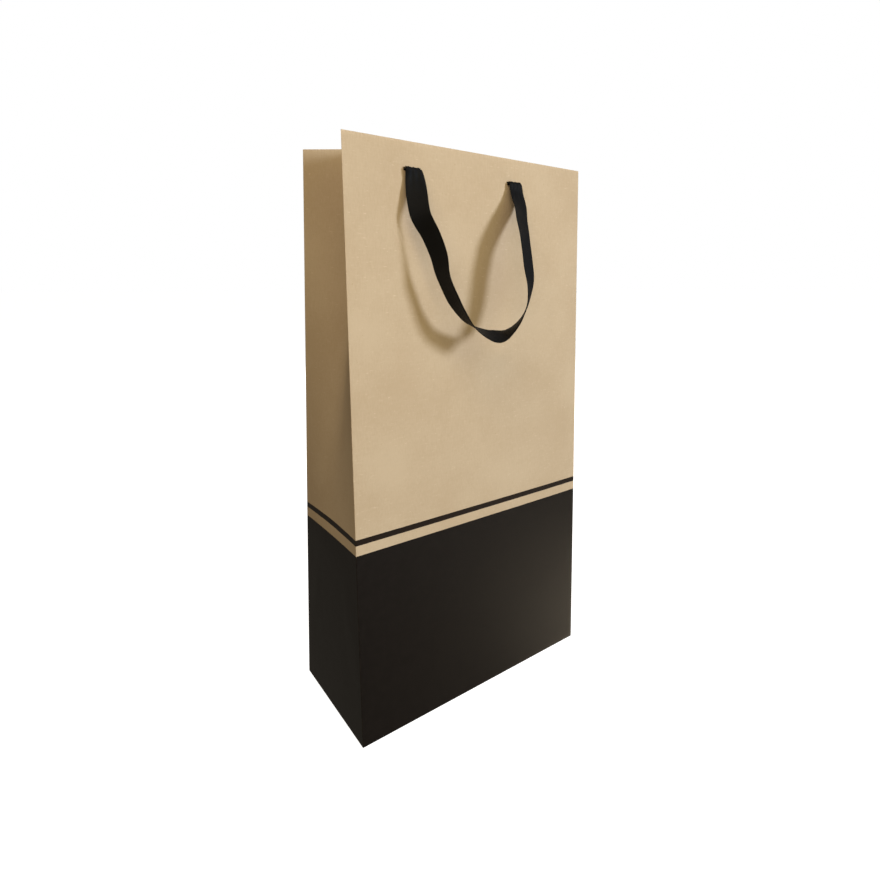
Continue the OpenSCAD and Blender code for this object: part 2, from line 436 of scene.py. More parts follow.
def thick_sheet(
    outer: Grid, inner: Grid, wrap: bool = False, holes: frozenset[tuple[int, int]] = frozenset()
) -> tuple[np.ndarray, list[tuple[int, ...]], list[int]]:
    """Join two grids of points into one closed sheet.

    Args:
        outer: Points of the kraft face, in rows, with rows going up and columns to the right as
            seen from that side.
        inner: Points of the other face, behind them.
        wrap: True if the last column joins the first.
        holes: Cells (row, column) that are left open.

    Returns:
        The points, the faces, and each face's slot as a Face value.
    """
    rows, cols = outer.shape[:2]
    points = np.concatenate([outer.reshape(-1, 3), inner.reshape(-1, 3)])
    half = rows * cols
    spans = cols if wrap else cols - 1
    faces: list[tuple[int, ...]] = []
    slots: list[int] = []
    kept = {(r, c) for r in range(rows - 1) for c in range(spans)} - holes

    def corner(r: int, c: int) -> int:
        """Return the outer point's number at a row and column."""
        return r * cols + c % cols

    for r, c in sorted(kept):
        a, b = corner(r, c), corner(r, c + 1)
        d, e = corner(r + 1, c), corner(r + 1, c + 1)
        faces += [(a, b, e, d), (a + half, d + half, e + half, b + half)]
        slots += [Face.KRAFT.value, Face.REVERSE.value]
        around = (((r - 1, c), a, b), ((r + 1, c), e, d), ((r, c - 1), d, a), ((r, c + 1), b, e))
        for (nr, nc), p, q in around:
            nc = nc % cols if wrap else nc
            if (nr, nc) not in kept:
                faces.append((q, p, p + half, q + half))
                slots.append(Face.CUT.value)
    return points, faces, slots


def spline(points: np.ndarray, steps: int) -> np.ndarray:
    """Return a smooth line through the rows of points, with that many steps between two rows."""
    last = len(points) - 1
    out: list[np.ndarray] = []
    for i in range(last):
        a, b, c, d = (points[min(max(k, 0), last)] for k in (i - 1, i, i + 1, i + 2))
        for k in range(steps):
            t = k / steps
            out.append(
                0.5 * (2 * b + (c - a) * t + (2 * a - 5 * b + 4 * c - d) * t * t
                       + (3 * b - a - 3 * c + d) * t ** 3)
            )
    return np.array([*out, points[last]])


def unit(v: np.ndarray) -> np.ndarray:
    """Return the vectors in the last axis at length 1."""
    return v / np.linalg.norm(v, axis=-1, keepdims=True)


def tangents(line: np.ndarray) -> np.ndarray:
    """Return the direction of a line at each of its points."""
    return unit(np.gradient(line, axis=0))


def square_to(v: np.ndarray, way: np.ndarray) -> np.ndarray:
    """Return the part of each vector that is square to a direction, at length 1."""
    return unit(v - (v * way).sum(-1, keepdims=True) * way)


def distance_along(line: np.ndarray) -> np.ndarray:
    """Return the distance run along a line at each of its points."""
    return np.concatenate([[0], np.cumsum(np.linalg.norm(np.diff(line, axis=0), axis=1))])


def tube_faces(rings: int, ring: int) -> list[tuple[int, ...]]:
    """Return the side faces of a tube with so many rings of so many points."""
    return [
        (i * ring + j, i * ring + (j + 1) % ring, (i + 1) * ring + (j + 1) % ring, (i + 1) * ring + j)
        for i in range(rings - 1) for j in range(ring)
    ]


def turns(*degrees: float) -> list[tuple[float, float]]:
    """Return the sine and cosine of each angle."""
    return [(math.sin(math.radians(d)), math.cos(math.radians(d))) for d in degrees]


def wobble(x: float, y: float, z: float, seed: float, size: float) -> float:
    """Read smooth noise at a place.

    Args:
        x: Place along X.
        y: Place along Y.
        z: Place along Z.
        seed: Which noise is read.
        size: How far across its features are.

    Returns:
        A value from about -1 to 1.
    """
    return noise.noise(Vector((x / size, y / size, z / size + seed)))


# ---------------------------------------------------------------------------------------------
# The paper body
# ---------------------------------------------------------------------------------------------

WIDE_PANELS = (Panel.FRONT, Panel.BACK)
# A corner has the number of the panel that starts at it, so these are the gussets' middle creases.
GUSSET_CREASES = (Panel.RIGHT_BACK, Panel.LEFT_FRONT)
# Two heights or shares that differ by less than this are the same.
CLOSE = 1e-7


@dataclass
class HandleSlots:
    """The pairs of slots that the ribbons pass through."""

    first: float = -48.0 * MM
    second: float = 28.0 * MM
    level: float = 344.5 * MM
    width: float = 10.0 * MM
    rise: float = 2.0 * MM

    def heights(self) -> tuple[float, float]:
        """Return the slots' lower and upper edges."""
        return self.level - self.rise / 2, self.level + self.rise / 2

    def shares(self, half_width: float) -> list[float]:
        """Return the slots' four edges as shares of a panel's width, seen from outside."""
        edges = [x + d * self.width / 2 for x in (self.first, self.second) for d in (-1, 1)]
        return [(x + half_width) / (2 * half_width) for x in edges]


@dataclass
class PaperBody:
    """The folded sheet: four walls with side gussets, and the hem turned in at the rim.

    Attributes:
        edge_round: Radius of the bends, on the outer face.
        least_round: The least that is left of it on an inner layer.
        corner_reach: How far a sharp bend may take from each of its panels.
        soft_crease: How much further the gussets' middle crease reaches, near the base.
        soft_rise: Height over which most of that is gone.
        true_middle: Share of a wide panel in which each column stands upright.
        bulge: How far the wide panels swell.
        cockle: Height of the sheet's slow waves.
        fold_middle: Height of the flat fold's old crease at the middle of a gusset.
        fold_drop_front: How much lower that crease is at the front corner.
        fold_drop_back: How much lower it is at the back corner.
        fold_reach: How far up and down from the crease the sheet still stands out.
        fold_rise: How far it stands out.
        panel_of: Each column's panel, and its share of the panel's width.
        corner_of: Each column's corner, and its number in that bend.
    """

    front_y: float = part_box("front_panel")[0].y
    half_width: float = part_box("front_panel")[1].x
    height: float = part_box("front_panel")[1].z
    back_y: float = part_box("back_panel")[1].y
    hem_bottom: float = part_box("front_hem")[0].z
    hem_in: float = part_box("front_hem")[1].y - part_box("front_panel")[0].y
    wall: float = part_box("front_panel")[1].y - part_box("front_panel")[0].y
    gusset_start: float = 110.0 * MM
    gusset_curve: float = 1.3
    paper: float = 0.36 * MM
    edge_round: float = 0.40 * MM
    least_round: float = 0.12 * MM
    corner_reach: float = 0.60 * MM
    soft_crease: float = 19.0 * MM
    soft_rise: float = 110.0 * MM
    rim_round: float = 0.25 * MM
    panel_columns: int = 62
    gusset_columns: int = 15
    corner_columns: int = 7
    row_pitch: float = 3.0 * MM
    true_middle: float = 0.7
    bulge: float = 0.54 * MM
    cockle: float = 0.35 * MM
    fold_middle: float = 80.0 * MM
    fold_drop_front: float = 20.0 * MM
    fold_drop_back: float = 39.0 * MM
    fold_reach: float = 30.0 * MM
    fold_rise: float = 0.22 * MM
    slots: HandleSlots = field(default_factory=HandleSlots)
    panel_of: list[tuple[Panel, float]] = field(default_factory=list, init=False)
    corner_of: list[tuple[Panel, int]] = field(default_factory=list, init=False)

    def __post_init__(self) -> None:
        """List each column's panel and share of it, and its corner and place in that bend."""
        for panel in list(Panel)[1:]:
            shares = self.column_shares(panel)
            bend = range(self.corner_columns)
            self.panel_of += [(Panel.NONE, 0.0) for _ in bend] + [(panel, share) for share in shares]
            self.corner_of += [(panel, k) for k in bend] + [(Panel.NONE, 0) for _ in shares]

    @property
    def lean(self) -> float:
        """Return how far the back panel leans forward for each metre of height."""
        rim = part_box("back_panel")[0].y + self.wall
        return (self.back_y - rim) / self.height

    def back_at(self, z: float) -> float:
        """Return the place in Y of the back panel's outer face at a height."""
        return self.back_y - self.lean * z

    def inset(self, z: float) -> float:
        """Return how far the gussets' middle crease is folded in at a height."""
        deep = math.sqrt(self.back_y ** 2 - ((self.back_at(self.height) - self.front_y) / 2) ** 2)
        share = (z - self.gusset_start) / (self.height - self.gusset_start)
        return deep * share ** self.gusset_curve if share > 0 else 0.0

    def corners(self, z: float, panel_in: float, gusset_in: float) -> list[tuple[float, float]]:
        """Return the plan of one layer of the sheet at a height.

        Args:
            z: The height.
            panel_in: How far inside the outer face the layer lies on the front and back.
            gusset_in: The same on the gussets.

        Returns:
            Six corners anticlockwise from above: front left, front right, right crease, back
            right, back left, left crease.
        """
        back, inset = self.back_at(z), self.inset(z)
        middle, half = (self.front_y + back) / 2, (back - self.front_y) / 2
        slope = inset / half
        side = self.half_width - slope * panel_in - gusset_in * math.hypot(1, slope)
        crease = self.half_width - inset - gusset_in * math.hypot(1, slope)
        low, high = self.front_y + panel_in, back - panel_in
        return [
            (-side, low), (side, low), (crease, middle), (side, high), (-side, high), (-crease, middle)
        ]

    def crease_reach(self, z: float) -> float:
        """Return how far the soft bend of the gussets' middle crease reaches at a height."""
        above = max(0.0, z - self.gusset_start)
        return self.corner_reach + self.soft_crease * math.exp(-above / self.soft_rise)

    def rounded(
        self, corners: Sequence[tuple[float, float]], z: float, inside: float
    ) -> np.ndarray:
        """Return a layer's plan with its corners rounded, at the sheet's columns.

        Args:
            corners: The six corners.
            z: The layer's height.
            inside: How far inside the outer face the layer lies, which takes away from the
                corners' radius.

        Returns:
            Points around the layer, as rows of x and y.
        """
        plan = [np.array(c) for c in corners]
        radius = max(self.edge_round - inside, self.least_round)
        share = np.linspace(0, 1, self.corner_columns)[:, None]
        bends: list[np.ndarray] = []
        for i, at in enumerate(plan):
            before, after = unit(plan[i - 1] - at), unit(plan[(i + 1) % 6] - at)
            half_angle = math.acos(max(-1.0, min(1.0, float(before @ after)))) / 2
            reach = min(radius / math.tan(half_angle), self.corner_reach)
            if i in GUSSET_CREASES:
                reach = self.crease_reach(z)
            a, b = at + before * reach, at + after * reach
            bends.append((1 - share) ** 2 * a + 2 * share * (1 - share) * at + share ** 2 * b)
        ring: list[np.ndarray] = []
        for panel, bend, following in zip(list(Panel)[1:], bends, [*bends[1:], bends[0]]):
            ring.extend(bend)
            for part in self.column_shares(panel):
                ring.append(self.column_place(panel, bend[-1], following[0], part))
        return np.array(ring)

    def column_place(
        self, panel: Panel, start: np.ndarray, end: np.ndarray, share: float
    ) -> np.ndarray:
        """Return where a column stands between a panel's two corners on one layer.

        Args:
            panel: The panel.
            start: Where the panel starts on this layer.
            end: Where it ends.
            share: The column's share of the panel's width.

        Returns:
            The place. Near the middle of the front and back it is the same in X on each layer,
            so that the slots in the wall and in the hem line up.
        """
        if panel not in WIDE_PANELS:
            return lerp(start, end, share)
        way = 1 if panel == Panel.FRONT else -1
        across, fixed = 2 * share - 1, self.true_middle
        x = way * across * self.half_width
        if abs(across) > fixed:
            corner = end[0] if across > 0 else start[0]
            edge = math.copysign(fixed * self.half_width, x)
            x = lerp(edge, corner, (abs(across) - fixed) / (1 - fixed))
        return lerp(start, end, (x - start[0]) / (end[0] - start[0]))

    def column_shares(self, panel: Panel) -> list[float]:
        """Return where the columns stand between a panel's two corners, the corners left out."""
        if panel not in WIDE_PANELS:
            return list(np.linspace(0, 1, self.gusset_columns + 2)[1:-1])
        even = np.linspace(0, 1, self.panel_columns + 2)[1:-1]
        edges = self.slots.shares(self.half_width)
        near = 0.45 / self.panel_columns
        clear = [share for share in even if min(abs(share - edge) for edge in edges) > near]
        return sorted([*clear, *edges])

    def wall_heights(self) -> list[float]:
        """Return the heights of the wall's rows, with rows at the slots' edges and the hem."""
        low, high = self.edge_round, self.height - self.rim_round
        count = round((high - low) / self.row_pitch)
        keys = [*self.slots.heights(), self.hem_bottom, self.gusset_start]
        even = np.linspace(low, high, count + 1)
        clear = [z for z in even if min(abs(z - k) for k in keys) > 0.3 * self.row_pitch]
        return sorted([*clear, *keys])

    def relief(self, column: int, z: float, x: float, y: float) -> float:
        """Find how far the sheet stands out of its plain shape.

        Args:
            column: Column of the sheet.
            z: Height of the point.
            x: The point's place along X.
            y: The point's place along Y.

        Returns:
            The distance along the sheet's outer normal.
        """
        panel, share = self.panel_of[column]
        if panel == Panel.NONE:
            return 0.0
        swell = math.sin(math.pi * share) ** 0.8
        up = z / self.height
        rise = math.sin(math.pi * up) ** 0.7 if 0 < up < 1 else 0.0
        cockle = wobble(x, y, z, 3.1 + panel, 75 * MM) * self.cockle * swell * min(1.0, z / (20 * MM))
        if panel in WIDE_PANELS:
            # The card in the hem keeps the panel flat from just above the hem's edge.
            free = min(1.0, max(0.0, (self.hem_bottom + 2 * MM - z) / (30 * MM)))
            return (self.bulge * swell * rise + cockle) * free
        # The gussets keep a trace of the crease along which the bag was folded flat.
        from_crease = 1 - share if panel in (Panel.RIGHT_FRONT, Panel.LEFT_BACK) else share
        ahead = panel in (Panel.RIGHT_FRONT, Panel.LEFT_FRONT)
        drop = self.fold_drop_front if ahead else self.fold_drop_back
        near = 1 - abs(z - self.fold_middle + drop * from_crease) / self.fold_reach
        return cockle * 0.8 + max(0.0, near) * self.fold_rise * swell

    def build(self, kraft: bpy.types.Material, reverse: bpy.types.Material) -> bpy.types.Object:
        """Build the folded sheet.

        Args:
            kraft: Finish of its printed face.
            reverse: Finish of its other face and its cut edges.

        Returns:
            The piece.
        """
        rows = self.rows()
        outer = np.array([self.layer(*row[:3]) for row in rows])
        inner = np.array([self.layer(*row[3:]) for row in rows])
        heights = [row[0] for row in rows]
        points, faces, slots = thick_sheet(outer, inner, True, self.slot_cells(heights))
        piece = new_piece("paper_body", points, faces, (kraft, reverse, reverse), slots)
        wear = np.array([[self.wear(c, z) for c in range(len(self.panel_of))] for z in heights])
        add_wear(piece, np.tile(wear.ravel(), 2))
        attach(piece, "bag")
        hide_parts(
            "front_panel", "back_panel", "left_gusset_front", "left_gusset_back",
            "right_gusset_front", "right_gusset_back", "front_hem", "back_hem", "left_gusset_hem",
            "right_gusset_hem",
        )
        return piece

    def wear(self, column: int, z: float) -> float:
        """Return how rubbed the sheet is at a column and height: along its folds and its rim."""
        rim = 0.9 if abs(z - self.height) < 2 * self.rim_round else 0.0
        corner, across = self.corner_of[column]
        if corner == Panel.NONE:
            return rim
        middle = 1 - abs(across - (self.corner_columns - 1) / 2) / (self.corner_columns / 2)
        fold = 0.9
        if corner in GUSSET_CREASES:
            # The soft crease is rubbed only high up, where it is sharp.
            fold = 0.5 * min(1.0, max(0.0, (z - 220 * MM) / (100 * MM)))
        return max(rim, middle * fold)

    def rows(self) -> list[tuple[float, float, float, float, float, float]]:
        """Return the sheet's rows from the bottom fold, up the wall and down the hem.

        Returns:
            For each row the kraft face's height and its depths on the panels and gussets, then
            the same for the other face.
        """
        t, top, rim = self.paper, self.height, self.rim_round
        hem, gusset_hem = self.hem_in, 2 * self.wall
        rows = []
        for s, c in turns(0, 22, 45, 67):
            depth, z = self.edge_round * (1 - s), self.edge_round * (1 - c)
            rows.append((z, depth, depth, z + t * c, depth + t * s, depth + t * s))
        rows += [(z, 0.0, 0.0, min(z, top - t), t, t) for z in self.wall_heights()]
        for s, c in turns(30, 60, 90):
            depth = rim * (1 - c)
            rows.append((top - rim * (1 - s), depth, depth, top - t, max(depth, t), max(depth, t)))
        for s, c in turns(90, 60, 30, 0):
            out = rim * (1 - c)
            under, z = max(out, t), top - rim * (1 - s)
            rows.append((z, hem - out, gusset_hem - out, top - t, hem - under, gusset_hem - under))
        down = [z for z in reversed(self.wall_heights()) if self.hem_bottom <= z < top - rim * 2]
        rows += [(z, hem, gusset_hem, min(z, top - t), hem - t, gusset_hem - t) for z in down]
        return rows

    def layer(self, z: float, panel_in: float, gusset_in: float) -> np.ndarray:
        """Return one row of points at a height and depth, with the sheet's relief."""
        plan = self.rounded(self.corners(z, panel_in, gusset_in), z, min(panel_in, gusset_in))
        ahead = unit(np.roll(plan, -1, axis=0) - np.roll(plan, 1, axis=0))
        row = []
        for column, ((x, y), (ax, ay)) in enumerate(zip(plan, ahead)):
            out = self.relief(column, z, x, y)
            row.append((x + ay * out, y - ax * out, z))
        return np.array(row)

    def slot_cells(self, heights: Sequence[float]) -> frozenset[tuple[int, int]]:
        """Return the grid's cells that the four ribbon slots leave open, in wall and hem.

        Args:
            heights: The height of each row.

        Returns:
            The cells, as rows and columns.
        """
        low, high = self.slots.heights()
        edges = self.slots.shares(self.half_width)
        openings = list(zip(edges[::2], edges[1::2]))
        rows = [
            r for r, ends in enumerate(zip(heights, heights[1:]))
            if min(ends) >= low - CLOSE and max(ends) <= high + CLOSE
        ]
        columns = [
            c for c, ((panel, start), (other, end)) in enumerate(zip(self.panel_of, self.panel_of[1:]))
            if panel == other and panel in WIDE_PANELS
            and any(start >= left - CLOSE and end <= right + CLOSE for left, right in openings)
        ]
        return frozenset((r, c) for r in rows for c in columns)


Place = Callable[[float, float], Point]


@dataclass
class GluedBottom:
    """The four flaps folded in under the bag and glued over each other."""

    body: PaperBody
    lap: float = 15.0 * MM
    step_run: float = 1.2 * MM
    side_length: float = 60.0 * MM
    ripple: float = 0.06 * MM
    overlap: float = 0.02 * MM
    columns: int = 40
    lines: int = 14

    @property
    def edge(self) -> float:
        """Return how far inside the walls the flaps start, just under the curl of the folds."""
        return self.body.edge_round - self.overlap

    def lift(self, x: float, y: float) -> float:
        """Return a small rise of the paper between its glued places."""
        return (0.5 + 0.5 * wobble(x, y, 0.0, 9.7, 30 * MM)) * self.ripple

    def tapered(self, fold: float, end: float, lap_at: float, turned: bool) -> Place:
        """Return the place function of a flap that tapers at 45 degrees.

        Args:
            fold: Where the flap starts in Y.
            end: Where it ends.
            lap_at: Where it starts to climb over another flap.
            turned: True if its columns run from right to left, so that its print faces down.

        Returns:
            The function, which takes a share across and a share in from the fold.
        """
        def place(across: float, inwards: float) -> Point:
            """Return the printed face's point."""
            y = lerp(fold, end, inwards)
            wide = self.body.half_width - self.edge - abs(y - fold)
            x = lerp(wide, -wide, across) if turned else lerp(-wide, wide, across)
            climb = self.body.wall * min(1.0, max(0.0, (y - lap_at) / self.step_run))
            return x, y, self.lift(x, y) + climb
        return place

    def from_side(self, sign: int) -> Place:
        """Return the place function of a side flap, on the right if sign is 1, or left if -1."""
        low, high = self.body.front_y + self.edge, self.body.back_y - self.edge

        def place(across: float, inwards: float) -> Point:
            """Return the printed face's point, above both tapered flaps."""
            y = lerp(low, high, across if sign > 0 else 1 - across)
            x = sign * (self.body.half_width - self.edge - inwards * (self.side_length - self.edge))
            return x, y, 2 * self.body.wall * min(1.0, inwards * 22) + self.lift(x, y)
        return place

    def flap(
        self, side: str, place: Place, kraft: bpy.types.Material, reverse: bpy.types.Material
    ) -> bpy.types.Object:
        """Build one flap as a thin sheet whose printed face looks down.

        Args:
            side: The side that it is folded in from.
            place: Gives the printed face's point at a share across and a share in from the fold.
            kraft: Finish of the printed face.
            reverse: Finish of the other face and the cut edges.

        Returns:
            The piece, on the bag's body.
        """
        outer = np.array([
            [place(c / (self.columns - 1), r / (self.lines - 1)) for c in range(self.columns)]
            for r in range(self.lines)
        ])
        points, faces, slots = thick_sheet(outer, outer + np.array([0.0, 0.0, self.body.paper]))
        piece = new_piece(f"{side}_flap_paper", points, faces, (kraft, reverse, reverse), slots)
        rim = np.zeros((self.lines, self.columns))
        rim[-1, :] = rim[:, 0] = rim[:, -1] = 0.6
        add_wear(piece, np.tile(rim.ravel(), 2))
        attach(piece, "bag")
        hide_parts(f"{side}_bottom_flap")
        return piece

    def build(self, kraft: bpy.types.Material, reverse: bpy.types.Material) -> list[bpy.types.Object]:
        """Build the four flaps and return them."""
        front, back = self.body.front_y + self.edge, self.body.back_y - self.edge
        places = {
            "front": self.tapered(front, self.lap, -self.lap - self.step_run, True),
            "back": self.tapered(back, -self.lap, math.inf, False),
            "left": self.from_side(-1),
            "right": self.from_side(1),
        }
        return [self.flap(side, place, kraft, reverse) for side, place in places.items()]


@dataclass
class InnerPieces:
    """What lies inside: the glued seam tab, the base card and the two rim cards."""

    body: PaperBody
    tab_rows: int = 60
    tab_columns: int = 6
    tab_lift: float = 0.10 * MM
    card_rows: int = 24
    card_columns: int = 46
    card_corner: float = 2.0 * MM
    card_bevel: float = 0.25 * MM
    card_warp: float = 0.05 * MM

    def seam(self, reverse: bpy.types.Material) -> bpy.types.Object:
        """Build the seam tab behind the back panel's right end and return it."""
        low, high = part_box("seam_tab")
        touching = 0.02 * MM
        outer = np.zeros((self.tab_rows, self.tab_columns, 3))
        for r, c in np.ndindex(self.tab_rows, self.tab_columns):
            x = lerp(low.x, high.x, c / (self.tab_columns - 1))
            z = lerp(low.z, high.z, r / (self.tab_rows - 1))
            loose = self.tab_lift * (1 - c / self.tab_columns)
            lift = (0.5 + 0.5 * wobble(x, 0.0, z, 5.5, 18 * MM)) * loose
            outer[r, c] = (x, self.body.back_at(z) - 2 * self.body.wall + touching - lift, z)
        points, faces, slots = thick_sheet(outer, outer + np.array([0.0, self.body.paper, 0.0]))
        piece = new_piece("seam_tab_paper", points, faces, (reverse,) * 3, slots)
        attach(piece, "bag")
        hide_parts("seam_tab")
        return piece

    def card(self, board: bpy.types.Material) -> bpy.types.Object:
        """Build the base card, a little warped, with blunt corners, and return it."""
        low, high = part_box("base_card")
        middle = (low + high) / 2
        top = np.zeros((self.card_rows, self.card_columns, 3))
        for r, c in np.ndindex(self.card_rows, self.card_columns):
            x = lerp(low.x, high.x, c / (self.card_columns - 1))
            y = lerp(low.y, high.y, r / (self.card_rows - 1))
            past_x = max(0.0, abs(x) - high.x + self.card_corner)
            past_y = max(0.0, abs(y - middle.y) - (high.y - middle.y) + self.card_corner)
            x -= math.copysign(0.3 * past_x * past_y / self.card_corner, x)
            warp = (0.5 + 0.5 * wobble(x, y, 0.0, 2.2, 90 * MM)) * self.card_warp
            top[r, c] = (x, y, high.z - self.card_warp + warp)
        bottom = top.copy()
        bottom[..., 2] = low.z
        points, faces, slots = thick_sheet(top, bottom)
        piece = new_piece("base_card_board", points, faces, (board,) * 3, slots)
        bevel = piece.modifiers.new("cut edge", "BEVEL")
        bevel.width, bevel.segments, bevel.limit_method = self.card_bevel, 2, "ANGLE"
        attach(piece, "bag")
        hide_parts("base_card")
        return piece

    def rim_cards(self, board: bpy.types.Material) -> None:
        """Give the two cards inside the hems their finish."""
        for node in ("front_top_card", "back_top_card"):
            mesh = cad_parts[node].data
            mesh.materials.clear()
            mesh.materials.append(board)


# ---------------------------------------------------------------------------------------------
# The ribbon handles
# ---------------------------------------------------------------------------------------------

# The ribbon's route from one slot to the other, in metres: place along the panel from the first
# slot, distance out from the panel, drop below the slots, and the turn of its outer face away
# from the front, in degrees.
ROUTE = (
    (0.000, 0.0030, 0.000, 0), (0.000, 0.0042, 0.006, 24), (-0.0015, 0.0085, 0.016, 48),
    (-0.002, 0.013, 0.027, 56), (0.002, 0.017, 0.038, 61), (0.005, 0.020, 0.049, 72),
    (0.007, 0.021, 0.060, 80), (0.011, 0.022, 0.070, 86), (0.016, 0.024, 0.080, 96),
    (0.023, 0.026, 0.089, 107), (0.032, 0.027, 0.094, 115), (0.040, 0.029, 0.096, 121),
    (0.048, 0.031, 0.093, 88), (0.054, 0.033, 0.087, 69), (0.059, 0.034, 0.078, 52),
    (0.062, 0.033, 0.065, 33), (0.063, 0.030, 0.052, 25), (0.065, 0.025, 0.038, 15),
    (0.069, 0.0175, 0.026, 6), (0.074, 0.0095, 0.015, 0), (0.076, 0.0042, 0.006, 0),
    (0.076, 0.0030, 0.000, 0),
)

# A tied end, in millimetres from its slot: across, inwards, down, then width and thickness of the
# gathered ribbon. It comes in through the slot, ties an overhand knot, and hangs down as a tail.
KNOT = (
    (0.0, 1.2, 0.0, 9.6, 0.7), (0.0, 2.9, -0.3, 8.8, 1.1), (-1.2, 4.3, -1.9, 5.4, 2.0),
    (-3.1, 5.4, 0.4, 4.0, 2.4), (-2.2, 7.2, 2.9, 4.0, 2.4), (1.2, 7.7, 2.9, 4.2, 2.5),
    (3.2, 6.4, 0.7, 4.0, 2.4), (1.9, 4.8, -2.5, 4.0, 2.4), (-1.2, 5.6, -3.0, 3.8, 2.2),
    (-0.7, 8.0, -1.1, 5.0, 1.9), (0.1, 7.0, 1.3, 5.2, 1.8), (0.3, 5.0, 4.4, 5.8, 1.3),
    (0.4, 4.3, 8.0, 8.4, 0.8), (0.6, 4.8, 12.0, 10.2, 0.6), (0.7, 5.0, 16.0, 10.6, 0.5),
)


